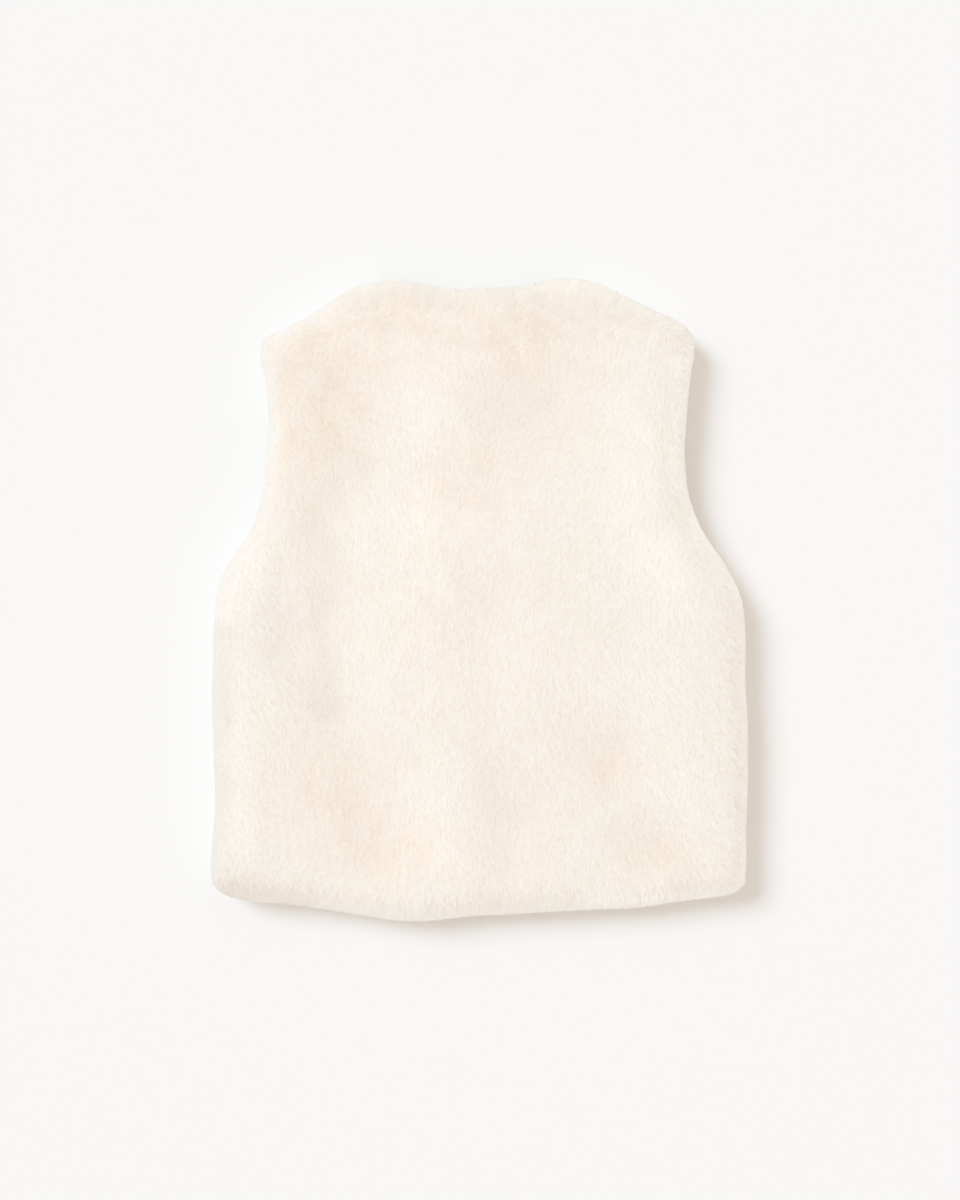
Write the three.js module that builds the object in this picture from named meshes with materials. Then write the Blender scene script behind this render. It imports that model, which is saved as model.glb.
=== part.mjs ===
// Faux fur vest for a small child, laid flat with its back up.
// Millimetres, +Z up, +Y towards the neck, with the origin under the middle of the vest where it lies.
// The back lies on the two fronts. Each panel is one wall: its inner face is the flat fabric side,
// and its outer face is where the tips of the pile end.
import * as THREE from "three";

// Thickness of each panel, fabric and pile together
const BACK_LOFT = 15;
const FRONT_LOFT = 12; // pressed flat by the weight on it
const SEAM_GAP = 0.3;

// How the pile rounds off towards an edge
const BACK_ROUND = 17; // distance from the edge at which the pile stands at its full height
const FRONT_ROUND = 13;
const RIM_SHARE = 0.3; // height of the upright rim, as a share of the panel's thickness
const UNDER_ROUND = 1.5; // how far the inner face stops short of an open edge

// Grid of each panel
const EDGE_LINES = [0, 2.4, 6.5, 11.5]; // distances from an edge, where the rounding needs lines
const BACK_STEP = { across: 15, down: 15 };
const FRONT_STEP = { across: 21, down: 15 };
const NECK_STEPS = 12; // points on half of the front neck
const HEM_STEPS = 24; // points on a front's hem
const SHOULDER_STEPS = 10;
const OUTLINE_STEPS = 90; // stretches on each side of an outline, to which distances are measured

// Outline of the back. One row for each height, with the distance from the centre line to each edge.
const SECTIONS = [
  { y: -180, left: 169.6, right: 169.6 }, // hem corners
  { y: -171, left: 171.4, right: 170 },
  { y: -150, left: 169.3, right: 170.2 },
  { y: -120, left: 168.4, right: 171.5 },
  { y: -80, left: 170.2, right: 171.2 },
  { y: -40, left: 169.9, right: 169.8 },
  { y: -8, left: 169, right: 169.2 },
  { y: 8, left: 167.4, right: 164.8 }, // underarm
  { y: 20, left: 162.6, right: 158.4 },
  { y: 32, left: 152.5, right: 149.6 },
  { y: 48, left: 143, right: 139.2 },
  { y: 66, left: 138.6, right: 132.8 },
  { y: 90, left: 135, right: 130.5 },
  { y: 118, left: 134.2, right: 131.8 },
  { y: 142, left: 135.4, right: 134.2 },
  { y: 156, left: 138.6, right: 136.5 },
  { y: 166, left: 137.8, right: 136.4 }, // shoulder tips
];

// Top edge of the back from the left shoulder tip over the neck to the right one
const TOP_EDGE = [
  { x: -137.8, y: 166 },
  { x: -126, y: 171.6 },
  { x: -112, y: 177.8 },
  { x: -96, y: 188 },
  { x: -82, y: 197.2 },
  { x: -66, y: 203 }, // left neck point
  { x: -50, y: 202.8 },
  { x: -33, y: 199.6 },
  { x: -18, y: 196.8 }, // lowest point of the back neck
  { x: 0, y: 198.2 },
  { x: 24, y: 199.2 },
  { x: 42, y: 201.8 },
  { x: 60, y: 204.2 }, // right neck point
  { x: 73, y: 202.4 },
  { x: 87, y: 195.6 },
  { x: 105, y: 187.6 },
  { x: 121, y: 180.8 },
  { x: 131, y: 174.6 },
  { x: 136.4, y: 166 },
];

// Hem of the back from the left corner to the right one
const HEM_EDGE = [
  { x: -169.6, y: -180 },
  { x: -163, y: -186.6 },
  { x: -151, y: -190.8 },
  { x: -128, y: -192.2 },
  { x: -100, y: -195.8 },
  { x: -72, y: -200.4 },
  { x: -46, y: -204.2 }, // lowest point of the hem
  { x: -28, y: -203.4 },
  { x: -12, y: -200.6 },
  { x: 20, y: -199.4 },
  { x: 60, y: -196.8 },
  { x: 98, y: -195.2 },
  { x: 120, y: -192.6 },
  { x: 134, y: -189.8 },
  { x: 152, y: -188.4 },
  { x: 163, y: -186 },
  { x: 169.6, y: -180 },
];

// Soft folds of the back, each along a line from (x0, y0) to (x1, y1). A negative height is a trough.
const FOLDS = [
  { x0: -112, y0: 138, x1: -114, y1: -20, width: 15, height: -3.2 },
  { x0: -112, y0: -34, x1: -66, y1: -158, width: 15, height: -2.4 },
  { x0: -36, y0: 150, x1: -48, y1: -60, width: 21, height: 2.2 },
  { x0: 30, y0: 164, x1: 10, y1: 78, width: 17, height: -2 },
  { x0: 4, y0: -14, x1: 16, y1: -176, width: 14, height: -2 },
  { x0: 104, y0: 112, x1: 120, y1: -60, width: 22, height: 2 },
  { x0: -150, y0: -8, x1: -147, y1: -150, width: 12, height: 1.6 },
  { x0: 108, y0: -158, x1: 111, y1: -164, width: 12, height: -2 },
  { x0: 86, y0: -96, x1: 90, y1: -110, width: 12, height: -1.6 },
  { x0: 44, y0: -152, x1: 64, y1: -154, width: 15, height: 1.4 },
];

// Front neck, a half ellipse hollowed out below the neck points, over which the back sags a little
const NECK_HALF_WIDTH = 60;
const NECK_CENTRE_Y = 200;
const NECK_DEPTH = 74;
const NECK_SAG = 4;
const SAG_SHARE = 0.8; // of the neck's width and depth

// Fronts: their meeting edges, deeper armholes and hem
const CENTRE_GAP = 0.8;
const ARMHOLE_CUT = { y: 85, reach: 52, depth: 5 };
const FRONT_HEM_RISE = 2.6;
const HEM_PEEKS = [
  { x: -77, reach: 26, drop: 4.4 },
  { x: 143, reach: 18, drop: 4 },
]; // places where a front's hem shows below the back's

const PILE_COLOUR = 0xf7efe3;

function smoothBump(share) {
  return share >= 1 ? 0 : (1 - share * share) ** 2;
}

function flatVector(point) {
  return new THREE.Vector3(point.x, point.y, 0);
}

// A smooth curve through the points, as a function that gives the point at a share of its length.
function curveThrough(points) {
  const curve = new THREE.CatmullRomCurve3(points.map(flatVector), false, "centripetal");
  return (share) => curve.getPointAt(THREE.MathUtils.clamp(share, 0, 1));
}

// The side edge with its armhole, which may be cut deeper.
function sideEdge(side, cut = 0) {
  const sign = side === "left" ? -1 : 1;
  const points = SECTIONS.map((row) => {
    const hollow = cut * smoothBump(Math.abs(row.y - ARMHOLE_CUT.y) / ARMHOLE_CUT.reach);
    return { x: sign * (row[side] - hollow), y: row.y };
  });
  return curveThrough(points);
}

// The height of an edge at x, on the smooth curve through its points.
function heightAlong(points) {
  const curve = curveThrough(points);
  const samples = [];
  for (let i = 0; i <= OUTLINE_STEPS; i++) samples.push(curve(i / OUTLINE_STEPS));
  return (x) => {
    const i = Math.max(1, samples.findIndex((point) => point.x >= x));
    const [a, b] = [samples[i - 1], samples[i]];
    return THREE.MathUtils.lerp(a.y, b.y, (x - a.x) / (b.x - a.x));
  };
}

const topHeight = heightAlong(TOP_EDGE);
const hemHeight = heightAlong(HEM_EDGE);

function frontHemHeight(x) {
  let height = hemHeight(x) + FRONT_HEM_RISE;
  for (const peek of HEM_PEEKS) height -= peek.drop * smoothBump(Math.abs(x - peek.x) / peek.reach);
  return height;
}

// The four edges of the back.
function backEdges() {
  return {
    hem: curveThrough(HEM_EDGE),
    top: curveThrough(TOP_EDGE),
    left: sideEdge("left"),
    right: sideEdge("right"),
  };
}

// Points at a given height from one distance off the centre line to another.
function pointsAlong(sign, from, to, height, steps) {
  const points = [];
  for (let i = 0; i <= steps; i++) {
    const x = sign * THREE.MathUtils.lerp(from, to, i / steps);
    points.push({ x, y: height(x) });
  }
  return points;
}

// Half of the front neck, from the centre front up to the neck point.
function neckPoints(sign, neckPoint) {
  const points = [];
  for (let i = 0; i < NECK_STEPS; i++) {
    const turn = (i / NECK_STEPS) * (Math.PI / 2);
    const x = sign * Math.max(CENTRE_GAP / 2, NECK_HALF_WIDTH * Math.sin(turn));
    points.push({ x, y: NECK_CENTRE_Y - NECK_DEPTH * Math.cos(turn) });
  }
  return [...points, neckPoint];
}

// The four edges of a front: hem, shoulder, side with armhole, and centre front with half the neck.
function frontEdges(side) {
  const sign = side === "left" ? -1 : 1;
  const [corner, tip] = [SECTIONS[0], SECTIONS[SECTIONS.length - 1]];
  const hemPoints = pointsAlong(sign, corner[side], CENTRE_GAP / 2, frontHemHeight, HEM_STEPS);
  hemPoints[0].y = corner.y;
  const shoulderPoints = pointsAlong(sign, tip[side], NECK_HALF_WIDTH, topHeight, SHOULDER_STEPS);
  shoulderPoints[0].y = tip.y;
  const neck = neckPoints(sign, shoulderPoints[SHOULDER_STEPS]).map(flatVector);
  const opening = new THREE.CurvePath();
  opening.add(new THREE.LineCurve3(flatVector(hemPoints[HEM_STEPS]), neck[0]));
  opening.add(new THREE.CatmullRomCurve3(neck, false, "centripetal"));
  const [toNeck, whole] = opening.getCurveLengths();
  const openingEdge = (share) => opening.getPointAt(THREE.MathUtils.clamp(share, 0, 1));
  const armSide = sideEdge(side, ARMHOLE_CUT.depth);
  const inOrder = (points) => curveThrough(side === "left" ? points : [...points].reverse());
  return {
    hem: inOrder(hemPoints),
    top: inOrder(shoulderPoints),
    left: side === "left" ? armSide : openingEdge,
    right: side === "left" ? openingEdge : armSide,
    corner: toNeck / whole,
  };
}

// Shares of an edge's length at which a grid has lines: close together near its ends, and one at its corner.
function gridShares(length, step, corner) {
  const last = EDGE_LINES[EDGE_LINES.length - 1];
  const stops = corner ? [last, corner * length, length - last] : [last, length - last];
  const lines = [...EDGE_LINES];
  for (let i = 1; i < stops.length; i++) {
    const count = Math.round((stops[i] - stops[i - 1]) / step);
    for (let k = 1; k <= count; k++) lines.push(THREE.MathUtils.lerp(stops[i - 1], stops[i], k / count));
  }
  const farEnd = EDGE_LINES.slice(0, -1).map((line) => length - line);
  return [...lines, ...farEnd.reverse()].map((line) => line / length);
}

// A point of the patch that the four edges span.
function patchPoint(edges, u, v) {
  const [hem, top, left, right] = [edges.hem(u), edges.top(u), edges.left(v), edges.right(v)];
  const [hemLeft, hemRight, topLeft, topRight] = [edges.hem(0), edges.hem(1), edges.top(0), edges.top(1)];
  const across = (a, b, axis) => THREE.MathUtils.lerp(a[axis], b[axis], u);
  const between = (axis) => {
    const ruled = THREE.MathUtils.lerp(hem[axis], top[axis], v) + across(left, right, axis);
    const corners = THREE.MathUtils.lerp(across(hemLeft, hemRight, axis), across(topLeft, topRight, axis), v);
    return ruled - corners;
  };
  return new THREE.Vector3(between("x"), between("y"), 0);
}

// The outline as short straight stretches.
function outlineOf(edges) {
  const stretches = [];
  for (const edge of [edges.hem, edges.right, edges.top, edges.left])
    for (let i = 0; i < OUTLINE_STEPS; i++)
      stretches.push(new THREE.Line3(edge(i / OUTLINE_STEPS), edge((i + 1) / OUTLINE_STEPS)));
  return stretches;
}

function distanceTo(outline, point) {
  const nearest = new THREE.Vector3();
  let distance = Infinity;
  for (const stretch of outline) {
    stretch.closestPointToPoint(point, true, nearest);
    distance = Math.min(distance, nearest.distanceTo(point));
  }
  return distance;
}

// Share of its full height at which the pile stands, at a distance from the edge.
function pileShare(distance, round) {
  const inward = 1 - Math.min(1, distance / round);
  return RIM_SHARE + (1 - RIM_SHARE) * Math.sqrt(1 - inward * inward);
}

// How much the folds near a point raise or lower the pile, each with a bell-shaped section.
function foldHeight(point) {
  let height = 0;
  for (const fold of FOLDS) {
    const line = new THREE.Line3(
      new THREE.Vector3(fold.x0, fold.y0, 0),
      new THREE.Vector3(fold.x1, fold.y1, 0),
    );
    const nearest = line.closestPointToPoint(point, true, new THREE.Vector3());
    height += fold.height * Math.exp(-0.5 * (nearest.distanceTo(point) / fold.width) ** 2);
  }
  return height;
}

function neckSag(point) {
  const across = point.x / (SAG_SHARE * NECK_HALF_WIDTH);
  const down = (NECK_CENTRE_Y - point.y) / (SAG_SHARE * NECK_DEPTH);
  return NECK_SAG * smoothBump(Math.hypot(across, down));
}

function backHeights(point, distance) {
  const inner = FRONT_LOFT + SEAM_GAP - neckSag(point);
  const loft = BACK_LOFT + foldHeight(point);
  return { inner, outer: inner + loft * pileShare(distance, BACK_ROUND) };
}

function frontHeights(point, distance) {
  return { inner: FRONT_LOFT, outer: FRONT_LOFT * (1 - pileShare(distance, FRONT_ROUND)) };
}

// Triangles of the outer face, the inner face and the rim that joins them, for a panel that faces up.
function wallFaces(columns, rows) {
  const at = (column, row) => row * columns + column;
  const under = columns * rows;
  const faces = [];
  const addQuad = (a, b, c, d) => faces.push(a, b, c, a, c, d);
  for (let row = 0; row < rows - 1; row++)
    for (let column = 0; column < columns - 1; column++) {
      const corners = [at(column, row), at(column + 1, row), at(column + 1, row + 1), at(column, row + 1)];
      addQuad(...corners);
      addQuad(...corners.map((i) => under + i).reverse());
    }
  const rim = [];
  for (let column = 0; column < columns - 1; column++) rim.push(at(column, 0));
  for (let row = 0; row < rows - 1; row++) rim.push(at(columns - 1, row));
  for (let column = columns - 1; column > 0; column--) rim.push(at(column, rows - 1));
  for (let row = rows - 1; row > 0; row--) rim.push(at(0, row));
  rim.forEach((a, i) => {
    const b = rim[(i + 1) % rim.length];
    addQuad(under + a, under + b, b, a);
  });
  return faces;
}

// One panel as a closed wall. heights gives its inner and outer height at a point, some distance from the edge.
function panelGeometry(edges, step, heights, facesUp) {
  const outline = outlineOf(edges);
  const width = edges.hem(0).distanceTo(edges.hem(1));
  const length = edges.left(0).distanceTo(edges.left(1));
  const [us, vs] = [gridShares(width, step.across), gridShares(length, step.down, edges.corner)];
  const [insetU, insetV] = [UNDER_ROUND / width, UNDER_ROUND / length];
  const inner = [];
  const outer = [];
  for (const v of vs)
    for (const u of us) {
      const above = patchPoint(edges, u, v);
      const clampedU = THREE.MathUtils.clamp(u, insetU, 1 - insetU);
      const clampedV = THREE.MathUtils.clamp(v, insetV, 1 - insetV);
      const below = patchPoint(edges, clampedU, clampedV);
      outer.push(above.x, above.y, heights(above, distanceTo(outline, above)).outer);
      inner.push(below.x, below.y, heights(below, distanceTo(outline, below)).inner);
    }
  const faces = wallFaces(us.length, vs.length);
  if (!facesUp) faces.reverse(); // turns every triangle round
  const geometry = new THREE.BufferGeometry();
  geometry.setAttribute("position", new THREE.Float32BufferAttribute([...outer, ...inner], 3));
  geometry.setIndex(faces);
  geometry.computeVertexNormals();
  return geometry;
}

function panel(name, geometry) {
  const pile = new THREE.MeshStandardMaterial({ color: PILE_COLOUR, roughness: 0.95, metalness: 0 });
  const mesh = new THREE.Mesh(geometry, pile);
  mesh.name = name;
  return mesh;
}

const vest = new THREE.Group();
vest.add(panel("back", panelGeometry(backEdges(), BACK_STEP, backHeights, true)));
for (const side of ["left", "right"])
  vest.add(panel("front_" + side, panelGeometry(frontEdges(side), FRONT_STEP, frontHeights, false)));

export default vest;
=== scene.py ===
import math
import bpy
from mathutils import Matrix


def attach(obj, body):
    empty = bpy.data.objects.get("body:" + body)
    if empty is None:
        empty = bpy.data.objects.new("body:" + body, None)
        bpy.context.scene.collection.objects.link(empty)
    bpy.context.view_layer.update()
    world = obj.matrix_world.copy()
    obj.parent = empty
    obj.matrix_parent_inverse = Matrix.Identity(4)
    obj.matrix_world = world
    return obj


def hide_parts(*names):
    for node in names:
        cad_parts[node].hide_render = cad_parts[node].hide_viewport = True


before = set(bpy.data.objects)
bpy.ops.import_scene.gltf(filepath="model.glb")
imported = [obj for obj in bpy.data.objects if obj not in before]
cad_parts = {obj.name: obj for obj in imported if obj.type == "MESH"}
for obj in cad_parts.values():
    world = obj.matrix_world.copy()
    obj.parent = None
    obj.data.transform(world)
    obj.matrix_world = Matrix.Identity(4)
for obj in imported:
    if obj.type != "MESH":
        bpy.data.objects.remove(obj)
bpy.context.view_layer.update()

from types import SimpleNamespace

import bmesh
import bpy
import numpy as np
from mathutils import Vector
from mathutils.bvhtree import BVHTree

# Camera: straight down, with the photograph's framing
METRES_PER_PIXEL = 0.00064
PHOTO_SIZE = (960, 1200)
VEST_CENTRE = (479, 599)  # pixels
LENS = 100  # mm, long enough that the sides of the vest don't show
SENSOR = 36  # mm, along the photograph's height
VEST_HEIGHT = 0.02  # height at which a pixel measures METRES_PER_PIXEL

# Floor and light. The light of each source is what a floor that faces up gets of it.
FLOOR = (0.8385, 0.8405, 0.8465)
FLOOR_HALF_SIDE = 4
FLOOR_ROUGHNESS = 0.9
FLOOR_SPECULAR = 0.1
WARM = (1.0, 0.905, 0.80)
COOL = (0.68, 0.84, 1.0)
KEY = 0.408
OVERHEAD = 0.416
WORLD = 0.434
KEY_FROM = (-1.0, 0.72, 1.0)
OVERHEAD_FROM = (-0.06, 0.05, 1.0)
SUN_WIDTH = {"key": 26, "overhead": 25}  # degrees

# Loose ends of the pile, over its dense part
PILE_DEPTH = {"back": 0.0017, "front_left": 0.0015, "front_right": 0.0015}
HAIR_LENGTH = 0.0056
HAIR_WIDTH = 0.00042
HAIRS_PER_LOCK = 7
HAIR_PARTS = 4  # points of a hair: root, two sides of its bend, tip
HAIR_TWIST = 0.22  # radians, of the flat of a hair about its length
ROOT_DEPTH = 0.0008  # how far the roots lie under the dense pile's surface
FLOOR_CLEARANCE = 0.0003  # lowest height of a front's loose hair
LOCK_HALF_LENGTH = 0.0012
LOCK_HALF_WIDTH = 0.00040
LOCK_TAPER = (0.85, 0.5)  # width of a lock at the bend and at the tips, as a share of that at the roots
BACK_PIECES = 4
BACK_LOCKS = 13400  # in each piece
FRONT_LOCKS = 5800
SEED = 11
RIM_CROWDING = {1: 4.0, -1: 9.0}  # how much closer together the locks stand on the rim, back and fronts
OUTER_SIDE = {1: -0.7, -1: -0.93}  # lowest share of a normal that points outward, where hairs still grow
BACKING_SIDE = -0.7  # highest such share on the inner side

# How locks and hairs differ from each other
LENGTH_RANGE = (0.85, 1.15)
WIDTH_RANGE = (0.75, 1.25)
BEND_RISE = (0.6, 1.0)  # shares of the loose ends' depth
TIP_RISE = (0.35, 1.15)
TIP_REACH = (0.8, 1.15)
TURN = {"anywhere": 0.16, "upper": 0.30, "ruffled": 0.20}  # radians, of a lock from the way that the pile is combed
LONGER = {"upper": 0.15, "hanging": 0.5}
FLUFF = {"upper": 0.6, "ruffled": 0.9}  # how much higher the tips rise
FOLLOWING = (0.55, 0.3)  # how closely a lock follows the surface, and how much less on the rim
RUFFLED_MORE = 1.5  # how much more a lock's lean and tone spread on the ruffled rim
COMBED_OUT = (0.8, 1.2)  # how far the pile is combed out over the edges: everywhere, and more on the rim
COMBED_DOWN = 0.5
HAIR_LIFT = 5.0  # how far the normals of the rim are turned up
DENSE_LIFT = 2.0

# Layers of unevenness: wavelength, seed and amount
COMB_UNEVEN = [(0.09, 3, 0.14), (0.03, 4, 0.12)]  # radians
UPPER_UNEVEN = [(0.012, 5, math.radians(30)), (0.035, 6, math.radians(25))]
WARM_UNEVEN = [(0.022, 31, 0.3), (0.006, 32, 0.3)]
PAINTED_LIGHT_LINES_UNEVEN = [(0.03, 51, 0.25)]
TONE_UNEVEN = [(0.02, 52, 0.006)]
BAND_UNEVEN = [(0.007, 53, 0.015)]  # above the parting
DEPTH_UNEVEN = [(0.03, 41, 0.0004)]
PARTING_UNEVEN = [(0.014, 21, 0.0022)]
FURROW_UNEVEN = [(0.05, 42, 0.8)]
RIM_UNEVEN = [(0.003, 61, 1.0)]

# Where the pile is combed away from straight down. turn is in degrees, positive towards +X.
COMB_TURNS = [
    {"at": (0.055, 0.085), "reach": 0.060, "turn": -26},
    {"at": (0.012, 0.020), "reach": 0.050, "turn": -12},
    {"at": (0.128, 0.060), "reach": 0.030, "turn": 24},
    {"at": (0.125, -0.070), "reach": 0.060, "turn": 24},
    {"at": (-0.060, 0.060), "reach": 0.045, "turn": 14},
    {"at": (-0.120, -0.060), "reach": 0.050, "turn": 12},
    {"at": (-0.030, -0.110), "reach": 0.050, "turn": -16},
]

# Seam of the shoulders and the back neck, from left to right. Above it the pile is combed up over the edge.
PARTING = [
    (-0.139, 0.149),
    (-0.115, 0.1625),
    (-0.084, 0.1747),
    (-0.051, 0.1773),
    (-0.025, 0.1658),
    (0.000, 0.1619),
    (0.039, 0.1658),
    (0.071, 0.1690),
    (0.103, 0.1590),
    (0.115, 0.1645),
    (0.138, 0.1517),
]
PARTING_MIXED = 0.0022  # how far locks of one side stray into the other
PARTING_CLOSED = [  # where it hardly shows
    {"at": (0.105, 0.160), "reach": (0.040, 0.020), "amount": 0.9},
    {"at": (-0.128, 0.158), "reach": (0.022, 0.016), "amount": 0.9},
]
FURROW_DEPTH = 0.0006
FURROW_WIDTH = 0.0035
FURROW_ENDS = (0.095, 0.125)  # it fades out between these distances from the middle

# Spots where the pile stands up in longer tufts
TUFTS = [
    {"at": (0.058, 0.197), "reach": 0.016, "amount": 0.25},
    {"at": (-0.026, 0.186), "reach": 0.009, "amount": 0.45},
    {"at": (-0.139, 0.155), "reach": 0.007, "amount": 0.30},
    {"at": (0.000, 0.168), "reach": 0.010, "amount": 0.30},
]

# Patches of painted warm shade, where the pile is parted or lies in troughs
WARM_SHADE_PATCHES = [
    {"at": (-0.108, 0.127), "reach": (0.020, 0.040), "amount": 0.9},
    {"at": (-0.074, 0.122), "reach": (0.015, 0.022), "amount": 0.4},
    {"at": (-0.106, 0.030), "reach": (0.017, 0.055), "amount": 0.10},
    {"at": (-0.100, -0.055), "reach": (0.020, 0.045), "amount": 0.08},
    {"at": (-0.092, -0.122), "reach": (0.028, 0.022), "amount": 0.75},
    {"at": (-0.055, -0.160), "reach": (0.022, 0.014), "amount": 0.9},
    {"at": (0.033, 0.168), "reach": (0.040, 0.022), "amount": 0.6},
    {"at": (0.030, 0.120), "reach": (0.028, 0.030), "amount": 0.35},
    {"at": (-0.008, 0.076), "reach": (0.022, 0.020), "amount": 0.6},
    {"at": (-0.062, 0.176), "reach": (0.040, 0.020), "amount": 0.6},
    {"at": (0.084, -0.103), "reach": (0.014, 0.012), "amount": 0.7},
    {"at": (0.113, -0.161), "reach": (0.017, 0.012), "amount": 0.75},
    {"at": (0.020, -0.150), "reach": (0.020, 0.030), "amount": 0.4},
    {"at": (0.060, -0.070), "reach": (0.030, 0.060), "amount": 0.12},
    {"at": (-0.020, -0.010), "reach": (0.045, 0.055), "amount": 0.25},
]

# Lines of painted light and painted shade, lighter or darker than elsewhere: lighter along ridges and on some rims,
# darker in troughs and along some edges
PAINTED_LIGHT_LINES = [
    {"from": (-0.100, 0.150), "to": (-0.100, 0.118), "width": 0.010, "shade": -0.035},
    {"from": (-0.100, 0.098), "to": (-0.100, -0.060), "width": 0.010, "shade": -0.070},
    {"from": (-0.100, -0.060), "to": (-0.075, -0.150), "width": 0.012, "shade": -0.025},
    {"from": (-0.022, 0.160), "to": (-0.020, 0.060), "width": 0.018, "shade": 0.040},
    {"from": (-0.030, 0.040), "to": (-0.022, -0.160), "width": 0.018, "shade": 0.030},
    {"from": (0.038, 0.175), "to": (0.032, 0.120), "width": 0.018, "shade": -0.030},
    {"from": (0.010, -0.110), "to": (0.014, -0.175), "width": 0.014, "shade": -0.030},
    {"from": (-0.163, -0.020), "to": (-0.166, -0.190), "width": 0.005, "shade": -0.080},
    {"from": (-0.080, 0.140), "to": (-0.078, 0.090), "width": 0.012, "shade": -0.030},
    {"from": (-0.090, 0.190), "to": (0.035, 0.190), "width": 0.006, "shade": -0.040},
    {"from": (0.078, 0.020), "to": (0.082, -0.130), "width": 0.020, "shade": -0.018},
    {"from": (0.035, -0.090), "to": (0.030, -0.125), "width": 0.020, "shade": -0.022},
    {"from": (0.118, -0.155), "to": (0.130, -0.172), "width": 0.015, "shade": -0.025},
    {"from": (0.128, 0.150), "to": (0.130, 0.085), "width": 0.006, "shade": 0.080},
    {"from": (0.075, -0.193), "to": (0.150, -0.193), "width": 0.006, "shade": 0.080},
    {"from": (-0.168, -0.180), "to": (-0.115, -0.192), "width": 0.009, "shade": -0.060},
    {"from": (0.108, 0.110), "to": (0.108, 0.030), "width": 0.014, "shade": 0.030},
    {"from": (0.128, 0.035), "to": (0.128, 0.000), "width": 0.010, "shade": 0.025},
]
PAINTED_LIGHT_RANGE = 0.08  # largest painted light or shade, either way, that shows
PAINTED_SHADE_FACING_KEY = 0.09  # painted shade: how much darker the sides that face the key light are
PAINTED_LIGHT_FACING_AWAY = 0.20  # painted light: how much lighter those that face away are
# Colour factor of the fullest painted shade
PAINTED_SHADE = (0.866, 0.842, 0.81)
TOWARDS_KEY = (-0.81, 0.58)  # the key light's direction over the floor

# Tone of the hairs, from 0 in the deep part of the pile to 1 at the lightest tips: darker towards the roots as painted
# shade in the depth of the pile
TONE_ALONG = (0, 0.5, 0.5, 0.95)  # at the root, the two sides of the bend and the tip
TONE_PIVOT = 0.7  # tone that more or less contrast leaves as it is
LOCK_TONE_SPREAD = 0.05
HAIR_TONE_SPREAD = 0.11
# Painted shade: how much darker the tone of the hairs on the upright rim is
PAINTED_RIM_SHADE_TONE = -0.12
CONTRAST = {"anywhere": 0.60, "warm": 0.3, "steep": 0.3, "nap": -0.35}  # on the back; the tone's contrast sets how dark the painted root shade is, more in the painted warm shade, on the rim and in the painted shade
LOCK_LEAN = 0.045  # how far a lock's shading leans from that of the cloth
OWN_SHADE = 0.15  # share of a hair's own normal in its shading

# Colours and surfaces
CREAM = (0.952, 0.927, 0.894)
# Colour at the roots, darker than CREAM as painted shade in the depth of the pile
ROOT_PAINTED_SHADE = (0.866, 0.812, 0.738)
# Tint of the painted warm shade
WARM_PAINTED_SHADE = (0.998, 0.948, 0.892)
# Painted shade on the rim, cooler and darker
RIM_PAINTED_SHADE = (0.900, 0.892, 0.885)
# Dense pile between the loose ends, darker than them as painted shade, and darker still on its upright rim as painted
# shade that keeps it from lighting the floor
DENSE_PAINTED_SHADE = (0.886, 0.830, 0.768)
DENSE_PAINTED_SHADE_LIGHT = (0.916, 0.875, 0.828)
DENSE_RIM_PAINTED_SHADE = (0.50, 0.47, 0.43)
BACKING = (0.80, 0.765, 0.70)
SPECULAR = 0.12
BUMP_HEIGHT = 0.001


def clamp(x, low, high):
    return np.minimum(np.maximum(x, low), high)


def column(values):
    return values[:, None]


def unit(v):
    return v / np.maximum(np.linalg.norm(v, axis=-1, keepdims=True), 1e-12)


def smoothstep(low, high, x):
    t = clamp((x - low) / (high - low), 0, 1)
    return t * t * (3 - 2 * t)


def tangent(v, normals):
    """The directions v, laid into the planes that the normals stand on."""
    return unit(v - normals * np.sum(v * normals, axis=1, keepdims=True))


def waves(points, wavelength, seed):
    """A smooth random field between about -1 and 1, from plane waves that run every way."""
    count = 9
    rng = np.random.default_rng(seed)
    total = np.zeros(len(points))
    for _ in range(count):
        heading = unit(rng.normal(size=3))
        length = wavelength * rng.uniform(0.7, 1.5)
        total += np.sin(points @ heading * (2 * math.pi / length) + rng.uniform(0, 2 * math.pi))
    return total / math.sqrt(count)


def uneven(points, layers):
    """The layers of a random field added up, each of them a wavelength, a seed and an amount."""
    return sum(amount * waves(points, wavelength, seed) for wavelength, seed, amount in layers)


def bell(points, at, reach):
    """1 at a spot seen from above, falling off over its reach, which may differ along x and y."""
    rx, ry = reach if isinstance(reach, tuple) else (reach, reach)
    return np.exp(-0.5 * (((points[:, 0] - at[0]) / rx) ** 2 + ((points[:, 1] - at[1]) / ry) ** 2))


def spots_sum(points, spots, key):
    """The spots' bells added up, each times the spot's value under key."""
    return sum(spot[key] * bell(points, spot["at"], spot["reach"]) for spot in spots)


def steepness(normals):
    """0 where the surface is level, 1 where it is upright."""
    return np.hypot(normals[:, 0], normals[:, 1])


def above_parting(points):
    """How far a point lies above the seam of the shoulders and the neck, which wanders a little."""
    line_x, line_y = zip(*PARTING)
    return points[:, 1] - np.interp(points[:, 0], line_x, line_y) + uneven(points * [1, 1, 0], PARTING_UNEVEN)


def warmth(points):
    """How much painted warm shade the pile gets, from 0 to 1."""
    return clamp(spots_sum(points, WARM_SHADE_PATCHES, "amount") * (1 + uneven(points, WARM_UNEVEN)), 0, 1)


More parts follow.
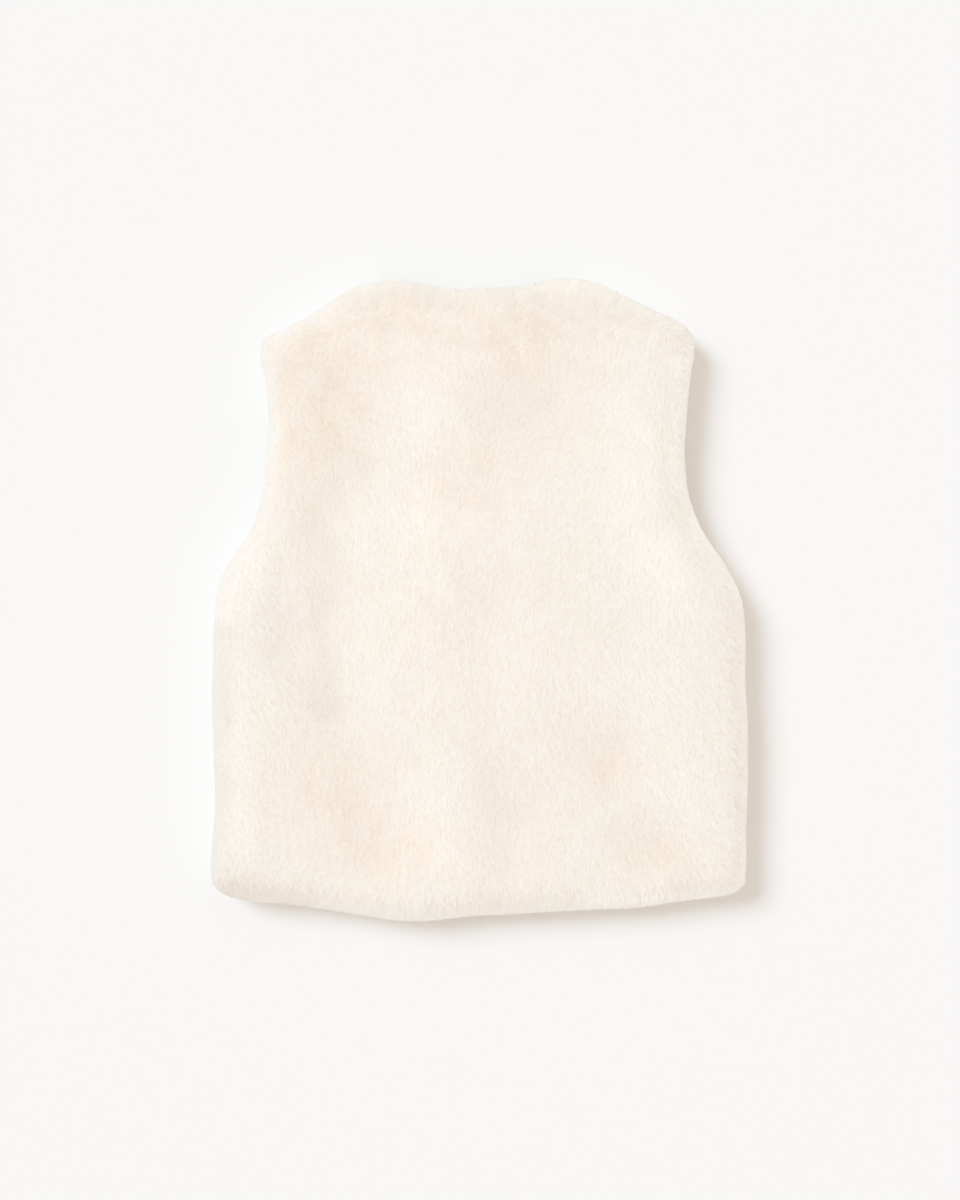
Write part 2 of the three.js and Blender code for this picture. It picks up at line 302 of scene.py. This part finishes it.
def nap(points, normals):
    """Painted light and shade, from -1 to 1: lighter along the listed ridges and rims, darker along the listed troughs
    and edges, darker on the upright sides that face the key light, which would otherwise look too bright, and lighter
    on those that face away, with a little random unevenness of tone."""
    total = np.zeros(len(points))
    for line in PAINTED_LIGHT_LINES:
        start, end = np.array(line["from"]), np.array(line["to"])
        along = clamp(((points[:, :2] - start) @ (end - start)) / np.sum((end - start) ** 2), 0, 1)
        distance = np.linalg.norm(points[:, :2] - start - column(along) * (end - start), axis=1)
        total += line["shade"] * np.exp(-0.5 * (distance / line["width"]) ** 2)
    total *= 1 + uneven(points, PAINTED_LIGHT_LINES_UNEVEN)
    total += uneven(points, TONE_UNEVEN)
    band = smoothstep(-0.001, 0.003, above_parting(points))
    total += band * uneven(points, BAND_UNEVEN)
    steep = smoothstep(0.2, 0.6, steepness(normals))
    # Painted shade on the upright sides that face the key light, painted light on those that face away
    towards = normals[:, :2] @ TOWARDS_KEY
    total -= steep * np.where(towards > 0, PAINTED_SHADE_FACING_KEY, PAINTED_LIGHT_FACING_AWAY) * towards
    return clamp(total / PAINTED_LIGHT_RANGE, -1, 1)


def comb_heading(points, normals, upper):
    """The way that the pile is combed at each point, in the plane of the cloth. upper is 1 above the parting."""
    angle = np.radians(spots_sum(points, COMB_TURNS, "turn")) + uneven(points, COMB_UNEVEN)
    flow = np.stack([np.sin(angle), -np.cos(angle), np.zeros(len(points))], axis=1)
    upper = column(upper)
    angle = uneven(points, UPPER_UNEVEN)
    upward = np.stack([np.sin(angle), np.cos(angle), np.zeros(len(points))], axis=1)
    flow = flow * (1 - upper) + upward * upper
    steep = steepness(normals)
    flow += column(COMBED_OUT[0] + COMBED_OUT[1] * steep) * normals * [1, 1, 0]
    flow[:, 2] -= COMBED_DOWN * steep
    return tangent(flow, normals)


def envelope(node, levels):
    """The node's surface, welded and smoothed."""
    bm = bmesh.new()
    bm.from_mesh(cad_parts[node].data)
    bmesh.ops.remove_doubles(bm, verts=bm.verts, dist=1e-5)
    bmesh.ops.join_triangles(bm, faces=bm.faces, angle_face_threshold=3.1, angle_shape_threshold=3.1)
    mesh = bpy.data.meshes.new(node + "_cage")
    bm.to_mesh(mesh)
    bm.free()
    cage = bpy.data.objects.new(node + "_cage", mesh)
    bpy.context.scene.collection.objects.link(cage)
    subdivision = cage.modifiers.new("smooth", "SUBSURF")
    subdivision.levels = subdivision.render_levels = levels
    smooth = bpy.data.meshes.new_from_object(cage.evaluated_get(bpy.context.evaluated_depsgraph_get()))
    bpy.data.objects.remove(cage)
    bpy.data.meshes.remove(mesh)
    return smooth


def arrays(mesh):
    """A mesh's points, their normals and its triangles."""
    points = np.empty(len(mesh.vertices) * 3)
    mesh.vertices.foreach_get("co", points)
    normals = np.empty(len(mesh.vertices) * 3)
    mesh.vertices.foreach_get("normal", normals)
    mesh.calc_loop_triangles()
    triangles = np.empty(len(mesh.loop_triangles) * 3, int)
    mesh.loop_triangles.foreach_get("vertices", triangles)
    return points.reshape(-1, 3), normals.reshape(-1, 3), triangles.reshape(-1, 3)


def outward_of(node):
    """Which way the pile of a panel faces, up or down."""
    return 1 if node == "back" else -1


def set_marks(mesh, node, points, normals, copies=1):
    """Stores at each point the painted warm shade, the painted light and shade with a little random unevenness, and how
    near the rim the pile is, more on the sides that face the key light, which sets the rim's painted shade. Only the
    back has painted warm shade or painted light. Each value is stored copies times, for the points of that many hairs."""
    # The rim mask, stronger on the sides that face the key light, where the rim gets painted shade
    lit = smoothstep(-0.2, 0.4, normals[:, :2] @ TOWARDS_KEY)
    steep = steepness(normals)
    rim = smoothstep(0.1, 0.8, steep) * (0.3 + 0.7 * lit)
    warm = warmth(points) * (1 - smoothstep(0.15, 0.7, steep))
    fields = {"warmth": warm, "nap": nap(points, normals), "rim": rim}
    for name, values in fields.items():
        values = values if node == "back" or name == "rim" else np.zeros(len(points))
        mesh.attributes.new(name, "FLOAT", "POINT").data.foreach_set("value", np.repeat(values, copies))


def lifted(normals, share):
    """Normals of the rim turned some way up, as light that shines through the loose pile makes them look."""
    lift = share * (1 - np.abs(normals[:, 2]))
    return unit(normals + column(lift) * [0, 0, 1])


def dense_pile(node, levels):
    """The dense part of a panel's pile, as a closed shell inside the node's surface. Its outer side faces up on the
    back and down on the fronts."""
    mesh = envelope(node, levels)
    points, normals, _ = arrays(mesh)
    outer = smoothstep(-0.3, 0.2, normals[:, 2] * outward_of(node))
    depth = PILE_DEPTH[node] + uneven(points, DEPTH_UNEVEN)
    if node == "back":
        broken = clamp(0.5 + uneven(points * [1, 0, 0], FURROW_UNEVEN), 0.1, 1)
        broken = broken * (1 - smoothstep(*FURROW_ENDS, np.abs(points[:, 0])))
        depth = depth + FURROW_DEPTH * broken * np.exp(-0.5 * (above_parting(points) / FURROW_WIDTH) ** 2)
    steep = steepness(normals)
    depth = depth * (1 - 0.3 * steep - steep * clamp(-normals[:, 1], 0, 1))
    inward = -normals * column(depth)
    inward[:, 2] *= outer
    mesh.vertices.foreach_set("co", (points + inward).ravel())
    mesh.update()
    mesh.name = node + "_pile"
    mesh.shade_smooth()
    mesh.normals_split_custom_set_from_vertices(lifted(normals, DENSE_LIFT))
    set_marks(mesh, node, points, normals)
    return bpy.data.objects.new(node + "_pile", mesh)


def scatter(mesh, outward, count, phase, rng):
    """Points on the outer side of a shell, with their normals, evenly over its area and closer together on its rim.
    phase is the place of this set among others, between which its points fall."""
    points, normals, triangles = arrays(mesh)
    a, b, c = (points[triangles[:, i]] for i in range(3))
    cross = np.cross(b - a, c - a)
    area = np.linalg.norm(cross, axis=1) / 2
    facing = cross[:, 2] * outward > OUTER_SIDE[outward] * np.linalg.norm(cross, axis=1)
    steep = 1 - np.abs(cross[:, 2]) / np.linalg.norm(cross, axis=1)
    area = np.where(facing, area * (1 + RIM_CROWDING[outward] * steep), 0)
    reached = np.cumsum(area) / area.sum()
    chosen = np.searchsorted(reached, (np.arange(count) + phase) / count * reached[-1])
    u, v = rng.random(count), rng.random(count)
    fold = u + v > 1
    u, v = np.where(fold, 1 - u, u), np.where(fold, 1 - v, v)
    weights = np.stack([1 - u - v, u, v], axis=1)[:, :, None]
    corners = triangles[chosen]
    return (points[corners] * weights).sum(axis=1), unit((normals[corners] * weights).sum(axis=1))


def onto_surface(tree, points):
    """The nearest place on the surface to each point, and the surface's normal there."""
    found = [tree.find_nearest(point) for point in points.tolist()]
    return np.array([hit[0] for hit in found]), np.array([hit[1] for hit in found])


def lock_path(shell, node, centre, heading, length, wrap):
    """Each lock's middle and end, with the normals there, where it follows the dense pile by the share wrap."""
    mesh = shell.data
    outward = outward_of(node)
    outer = [tuple(face.vertices) for face in mesh.polygons if face.normal.z * outward > OUTER_SIDE[outward]]
    tree = BVHTree.FromPolygons([vertex.co for vertex in mesh.vertices], outer)
    step = column(length) / 2
    straight = centre + heading * step
    middle, middle_normal = onto_surface(tree, straight)
    middle = straight + (middle - straight) * wrap
    middle_heading = tangent(middle - centre, middle_normal)
    straight = middle + middle_heading * step
    end, end_normal = onto_surface(tree, straight)
    end = straight + (end - straight) * wrap
    return (middle, middle_normal), (end, end_normal)


def each(values):
    """The locks' values, repeated for each of their hairs."""
    return np.repeat(values, HAIRS_PER_LOCK, axis=0)


def hair_mesh(name, corners, shade):
    """Two triangles for each hair, from the places of its parts and the normal that it is shaded by."""
    hairs = len(corners)
    first = np.arange(hairs)[:, None] * HAIR_PARTS
    triangles = np.concatenate([first + [0, 2, 1], first + [1, 2, 3]], axis=1).reshape(-1, 3)
    mesh = bpy.data.meshes.new(name)
    mesh.vertices.add(hairs * HAIR_PARTS)
    mesh.vertices.foreach_set("co", corners.ravel())
    mesh.loops.add(triangles.size)
    mesh.loops.foreach_set("vertex_index", triangles.ravel())
    mesh.polygons.add(len(triangles))
    mesh.polygons.foreach_set("loop_start", np.arange(0, triangles.size, 3))
    mesh.polygons.foreach_set("loop_total", np.full(len(triangles), 3))
    mesh.update()
    mesh.shade_smooth()
    mesh.normals_split_custom_set_from_vertices(np.repeat(shade, HAIR_PARTS, axis=0))
    bake_map(mesh, hairs)
    return mesh


def comb_locks(shell, node, count, phase, rng):
    """The locks of a piece of fur: where they grow, and the path that each is combed along over the dense pile."""
    centre, normal = scatter(shell.data, outward_of(node), count, phase, rng)
    above = above_parting(centre) if node == "back" else np.full(count, -1.0)
    upper = smoothstep(-0.001, 0.001, above + rng.normal(0, PARTING_MIXED, count))
    upper = upper * (1 - spots_sum(centre, PARTING_CLOSED, "amount"))
    tuft = spots_sum(centre, TUFTS, "amount")
    steep = steepness(normal)
    ruffled = smoothstep(0.5, 0.9, steep)
    hanging = steep * clamp(-normal[:, 1], 0, 1)
    heading = comb_heading(centre, normal, upper)
    turn = TURN["anywhere"] + TURN["upper"] * upper + TURN["ruffled"] * ruffled
    turn = column(rng.normal(0, 1, count) * turn)
    heading = heading * np.cos(turn) + np.cross(normal, heading) * np.sin(turn)
    length = HAIR_LENGTH * rng.uniform(*LENGTH_RANGE, count)
    length *= 1 + LONGER["upper"] * upper + tuft + LONGER["hanging"] * hanging
    wrap = column(FOLLOWING[0] - FOLLOWING[1] * steep)
    middle, end = lock_path(shell, node, centre, heading, length, wrap)
    return SimpleNamespace(
        centre=centre,
        normal=normal,
        heading=heading,
        middle=middle[0],
        middle_normal=middle[1],
        end=end[0],
        end_normal=end[1],
        steep=steep,
        ruffled=ruffled,
        fluff=1 + FLUFF["upper"] * upper + tuft + FLUFF["ruffled"] * ruffled * uneven(centre, RIM_UNEVEN),
    )


def hair_corners(locks, depth, rng):
    """The points of each hair, which bends over in the middle and meets its lock's others towards the tip, and the
    normal of each hair's flat."""
    total = len(locks.centre) * HAIRS_PER_LOCK
    along = column(LOCK_HALF_LENGTH * rng.uniform(-1, 1, total))
    aside = column(LOCK_HALF_WIDTH * rng.normal(0, 1, total))
    rise_middle = column(depth * rng.uniform(*BEND_RISE, total))
    rise_tip = column(depth * rng.uniform(*TIP_RISE, total) * each(locks.fluff))
    heading_middle = tangent(locks.end - locks.centre, locks.middle_normal)
    across_root = each(np.cross(locks.normal, locks.heading)) * aside
    across_middle = each(np.cross(locks.middle_normal, heading_middle)) * aside
    along_middle = each(heading_middle) * along
    root = each(locks.centre) + each(locks.heading) * along + across_root - each(locks.normal) * ROOT_DEPTH
    bend = each(locks.middle) + along_middle + across_middle * LOCK_TAPER[0] + each(locks.middle_normal) * rise_middle
    tip = each(locks.end) + along_middle + across_middle * LOCK_TAPER[1] + each(locks.end_normal) * rise_tip
    tip = bend + (tip - bend) * column(rng.uniform(*TIP_REACH, total))
    course = unit(tip - root)
    across = unit(np.cross(course, lifted(each(locks.middle_normal), HAIR_LIFT)))
    flat = np.cross(across, course)
    twist = column(rng.normal(0, HAIR_TWIST, total))
    across = across * np.cos(twist) + flat * np.sin(twist)
    half = across * column(HAIR_WIDTH / 2 * rng.uniform(*WIDTH_RANGE, total))
    return np.stack([root, bend - half, bend + half, tip], axis=1), flat


def hair_shading(locks, flat, rng):
    """The normal that each hair is shaded by: the cloth's, turned up on the rim and leaning with the lock, with a small
    share of the hair's own."""
    lean = each(rng.normal(0, LOCK_LEAN, (len(locks.centre), 2)) * (1 + RUFFLED_MORE * column(locks.ruffled)))
    shade = lifted(each(locks.normal), HAIR_LIFT)
    shade = shade + each(np.cross(locks.normal, locks.heading)) * lean[:, :1] + each(locks.heading) * lean[:, 1:]
    return unit((1 - OWN_SHADE) * unit(shade) + OWN_SHADE * flat)


def hair_tones(locks, node, rng):
    """The tone of each point of each hair: darker towards the root as painted shade in the depth of the pile, and on
    the rim as painted shade, with random spread.
    """
    count = len(locks.centre)
    spread = each(rng.normal(0, LOCK_TONE_SPREAD, count)) + rng.normal(0, HAIR_TONE_SPREAD, count * HAIRS_PER_LOCK)
    spread *= 1 + RUFFLED_MORE * each(locks.ruffled)
    tones = column(spread + PAINTED_RIM_SHADE_TONE * each(locks.steep)) + [TONE_ALONG]
    contrast = np.ones(count)
    if node == "back":
        contrast = CONTRAST["anywhere"] + CONTRAST["warm"] * warmth(locks.centre) + CONTRAST["steep"] * locks.steep
        contrast += CONTRAST["nap"] * nap(locks.centre, locks.normal)
    return clamp(TONE_PIVOT + (tones - TONE_PIVOT) * column(each(contrast)), 0, 1)


def fur(name, shell, node, count, seed, phase=0.5):
    """A piece of fur: so many combed locks of hairs, over the shell of a panel's dense pile."""
    rng = np.random.default_rng(seed)
    locks = comb_locks(shell, node, count, phase, rng)
    corners, flat = hair_corners(locks, PILE_DEPTH[node], rng)
    if node != "back":
        corners[:, :, 2] = np.maximum(corners[:, :, 2], FLOOR_CLEARANCE)
    mesh = hair_mesh(name, corners, hair_shading(locks, flat, rng))
    tones = hair_tones(locks, node, rng)
    mesh.attributes.new("tone", "FLOAT", "POINT").data.foreach_set("value", tones.ravel())
    set_marks(mesh, node, locks.centre, locks.normal, HAIR_PARTS * HAIRS_PER_LOCK)
    piece = bpy.data.objects.new(name, mesh)
    piece.visible_shadow = piece.visible_diffuse = False  # light passes between the loose hairs
    return piece


def bake_map(mesh, hairs):
    """A map for baking: a square of its own for each hair, with the root at the bottom."""
    side = math.ceil(math.sqrt(hairs))
    cell = np.stack([np.arange(hairs) % side, np.arange(hairs) // side], axis=1)
    inside = np.array([[0.5, 0.05], [0.95, 0.5], [0.05, 0.5], [0.05, 0.5], [0.95, 0.5], [0.5, 0.95]])
    places = (cell[:, None, :] + inside[None, :, :]) / side
    mesh.uv_layers.new(name="OFBake").data.foreach_set("uv", places.ravel())


class Nodes:
    """Builds a material's nodes: each call makes one and returns an output of it. An input is given by its name, or as
    i and its number."""

    def __init__(self, name):
        self.material = bpy.data.materials.new(name)
        self.material.use_nodes = True
        self.tree = self.material.node_tree
        self.shader = self.tree.nodes["Principled BSDF"]

    def set(self, socket, value):
        if isinstance(value, bpy.types.NodeSocket):
            self.tree.links.new(value, socket)
        else:
            socket.default_value = value

    def make(self, kind, settings=None, output=0, **inputs):
        node = self.tree.nodes.new("ShaderNode" + kind)
        for key, value in (settings or {}).items():
            setattr(node, key, value)
        for key, value in inputs.items():
            socket = node.inputs[int(key[1:])] if key[0] == "i" and key[1:].isdigit() else node.inputs[key]
            self.set(socket, value)
        return node.outputs[output]

    def attribute(self, name):
        return self.make("Attribute", {"attribute_name": name}, output="Fac")

    def place(self):
        return self.make("TexCoord", output="Object")

    def noise(self, scale, detail=3.0, at=None):
        return self.make("TexNoise", Vector=at or self.place(), Scale=scale, Detail=detail)

    def mapped(self, value, low, high, new_low, new_high):
        return self.make("MapRange", i0=value, i1=low, i2=high, i3=new_low, i4=new_high)

    def math(self, operation, a, b):
        return self.make("Math", {"operation": operation}, i0=a, i1=b)

    def mix(self, share, a, b, blend="MIX"):
        node = self.tree.nodes.new("ShaderNodeMix")
        node.data_type = "RGBA"
        node.blend_type = blend
        for socket, value in zip((node.inputs[0], node.inputs[6], node.inputs[7]), (share, a, b)):
            self.set(socket, (*value, 1) if isinstance(value, tuple) else value)
        return node.outputs[2]

    def finish(self, colour, roughness, sheen, bump=None, strength=0.0):
        self.set(self.shader.inputs["Base Color"], colour)
        self.set(self.shader.inputs["Roughness"], roughness)
        self.shader.inputs["Specular IOR Level"].default_value = SPECULAR
        self.shader.inputs["Sheen Weight"].default_value = sheen
        self.shader.inputs["Sheen Roughness"].default_value = 0.5
        if bump is not None:
            normal = self.make("Bump", Height=bump, Strength=strength, Distance=BUMP_HEIGHT)
            self.set(self.shader.inputs["Normal"], normal)
        return self.material


def uneven_cream(nodes, depth, low, high):
    """Cream pile from the darker colour of its deep part, a painted shade, to its tips, with painted warm shade in the
    patches, painted shade on the rim, painted light and shade along the listed lines and on the upright sides, and
    slightly uneven at two scales."""
    colour = nodes.mix(depth, low, high)
    # Painted warm shade in the patches
    colour = nodes.mix(nodes.attribute("warmth"), colour, WARM_PAINTED_SHADE, "MULTIPLY")
    # Painted shade on the rim
    colour = nodes.mix(nodes.math("MULTIPLY", nodes.attribute("rim"), 0.8), colour, RIM_PAINTED_SHADE)
    # Painted light and painted shade along the listed lines and sides
    light = nodes.mix(nodes.mapped(nodes.attribute("nap"), -1, 1, 0, 1), PAINTED_SHADE, (1.0, 1.0, 1.0))
    colour = nodes.mix(1.0, colour, light, "MULTIPLY")
    broad = nodes.mapped(nodes.noise(22), 0.3, 0.7, 0.985, 1.0)
    fine = nodes.mapped(nodes.noise(420, 2.0), 0.3, 0.7, 0.98, 1.0)
    grey = nodes.make("CombineColor", i0=fine, i1=fine, i2=broad)
    return nodes.mix(1.0, colour, grey, "MULTIPLY")


def fur_material():
    nodes = Nodes("cream_fur")
    colour = uneven_cream(nodes, nodes.attribute("tone"), ROOT_PAINTED_SHADE, CREAM)
    return nodes.finish(colour, nodes.mapped(nodes.noise(90), 0.3, 0.7, 0.75, 0.95), sheen=0.2)


def dense_material():
    """Pile seen between the loose ends: short strokes along the way that it is combed, darker than the loose ends as
    painted shade between them, and with painted shade on the upright sides, most on those that face the key light,
    which would otherwise light the floor."""
    nodes = Nodes("dense_pile")
    stretched = nodes.make("Mapping", Vector=nodes.place(), Scale=(1.0, 0.22, 1.0))
    strokes = nodes.noise(1500, 2.0, stretched)
    colour = uneven_cream(nodes, nodes.mapped(strokes, 0.35, 0.7, 0, 1), DENSE_PAINTED_SHADE, DENSE_PAINTED_SHADE_LIGHT)
    # Painted shade on the upright rim, most where it faces the key light
    facing = nodes.make("SeparateXYZ", output="Z", Vector=nodes.make("TexCoord", output="Normal"))
    rim = nodes.mapped(nodes.attribute("rim"), 0.3, 1.0, 0, 1)
    upright = nodes.mapped(facing, 0.4, 1.0, 1, 0)
    colour = nodes.mix(nodes.math("MULTIPLY", rim, upright), colour, DENSE_RIM_PAINTED_SHADE)
    return nodes.finish(colour, nodes.mapped(strokes, 0.3, 0.7, 0.95, 0.8), sheen=0.2, bump=strokes, strength=0.4)


def backing_material():
    """Knitted fabric side: fine ribs along the panel, crossed by rows of stitches."""
    nodes = Nodes("knit_backing")
    ribs = nodes.make("TexWave", {"bands_direction": "X"}, Vector=nodes.place(), Scale=190.0, Distortion=0.6)
    rows = nodes.make("TexWave", {"bands_direction": "Y"}, Vector=nodes.place(), Scale=150.0, Distortion=1.0)
    stitches = nodes.math("MULTIPLY", ribs, nodes.mapped(rows, 0, 1, 0.5, 1.0))
    colour = nodes.mix(nodes.mapped(stitches, 0, 1, 0, 1), tuple(0.86 * c for c in BACKING), BACKING)
    colour = nodes.mix(nodes.mapped(nodes.noise(60), 0.3, 0.7, 0, 0.3), colour, tuple(0.94 * c for c in BACKING))
    return nodes.finish(colour, nodes.mapped(stitches, 0, 1, 0.95, 0.8), sheen=0.1, bump=stitches, strength=0.4)


def floor_material():
    nodes = Nodes("floor")
    nodes.shader.inputs["Base Color"].default_value = (*FLOOR, 1)
    nodes.shader.inputs["Roughness"].default_value = FLOOR_ROUGHNESS
    nodes.shader.inputs["Specular IOR Level"].default_value = FLOOR_SPECULAR
    return nodes.material


def add(piece, *materials):
    """Puts a piece into the scene, on the part's one body."""
    bpy.context.scene.collection.objects.link(piece)
    piece.data.materials.clear()
    for material in materials:
        piece.data.materials.append(material)
    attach(piece, "root")
    return piece


def show_backing(piece, node):
    """Gives the inner side of a panel its second material."""
    for face in piece.data.polygons:
        face.material_index = 1 if face.normal.z * outward_of(node) < BACKING_SIDE else 0


def camera():
    data = bpy.data.cameras.new("camera")
    data.lens = LENS
    data.sensor_width = SENSOR
    view_height = PHOTO_SIZE[1] * METRES_PER_PIXEL
    x = (PHOTO_SIZE[0] / 2 - VEST_CENTRE[0]) * METRES_PER_PIXEL
    y = (VEST_CENTRE[1] - PHOTO_SIZE[1] / 2) * METRES_PER_PIXEL
    made = bpy.data.objects.new("camera", data)
    made.location = (x, y, VEST_HEIGHT + view_height * LENS / SENSOR)
    bpy.context.scene.collection.objects.link(made)
    bpy.context.scene.camera = made


def stage():
    mesh = bpy.data.meshes.new("floor")
    s = FLOOR_HALF_SIDE
    mesh.from_pydata([(-s, -s, 0), (s, -s, 0), (s, s, 0), (-s, s, 0)], [], [(0, 1, 2, 3)])
    floor = bpy.data.objects.new("floor", mesh)
    floor.data.materials.append(floor_material())
    bpy.context.scene.collection.objects.link(floor)


def sun(name, direction, irradiance, colour):
    """A distant light. irradiance is what a floor facing up gets of it."""
    data = bpy.data.lights.new(name, "SUN")
    data.color = colour
    data.angle = math.radians(SUN_WIDTH[name])
    towards = Vector(direction).normalized()
    data.energy = irradiance * math.pi / towards.z
    made = bpy.data.objects.new(name, data)
    made.rotation_euler = towards.to_track_quat("Z", "Y").to_euler()
    bpy.context.scene.collection.objects.link(made)


def lights():
    world = bpy.data.worlds.new("studio")
    bpy.context.scene.world = world
    world.use_nodes = True
    background = world.node_tree.nodes["Background"]
    background.inputs["Color"].default_value = (*WARM, 1)
    background.inputs["Strength"].default_value = WORLD
    sun("key", KEY_FROM, KEY, COOL)
    sun("overhead", OVERHEAD_FROM, OVERHEAD, WARM)


camera()
stage()
lights()
bpy.context.scene.view_settings.view_transform = "Standard"
bpy.context.scene.cycles.diffuse_bounces = 8

loose, dense, backing = fur_material(), dense_material(), backing_material()
back = add(dense_pile("back", 2), dense, backing)
show_backing(back, "back")
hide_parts("back")
fronts = []
for node in ("front_left", "front_right"):
    piece = add(dense_pile(node, 1), dense, backing)
    show_backing(piece, node)
    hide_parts(node)
    fronts.append(piece)
back_fur = [
    add(fur(f"back_fur_{i}", back, "back", BACK_LOCKS, SEED + i, (i + 0.5) / BACK_PIECES), loose)
    for i in range(BACK_PIECES)
]
front_fur = [
    add(fur(piece.name.replace("pile", "fur"), piece, piece.name[:-5], FRONT_LOCKS, SEED + 7 + i), loose)
    for i, piece in enumerate(fronts)
]
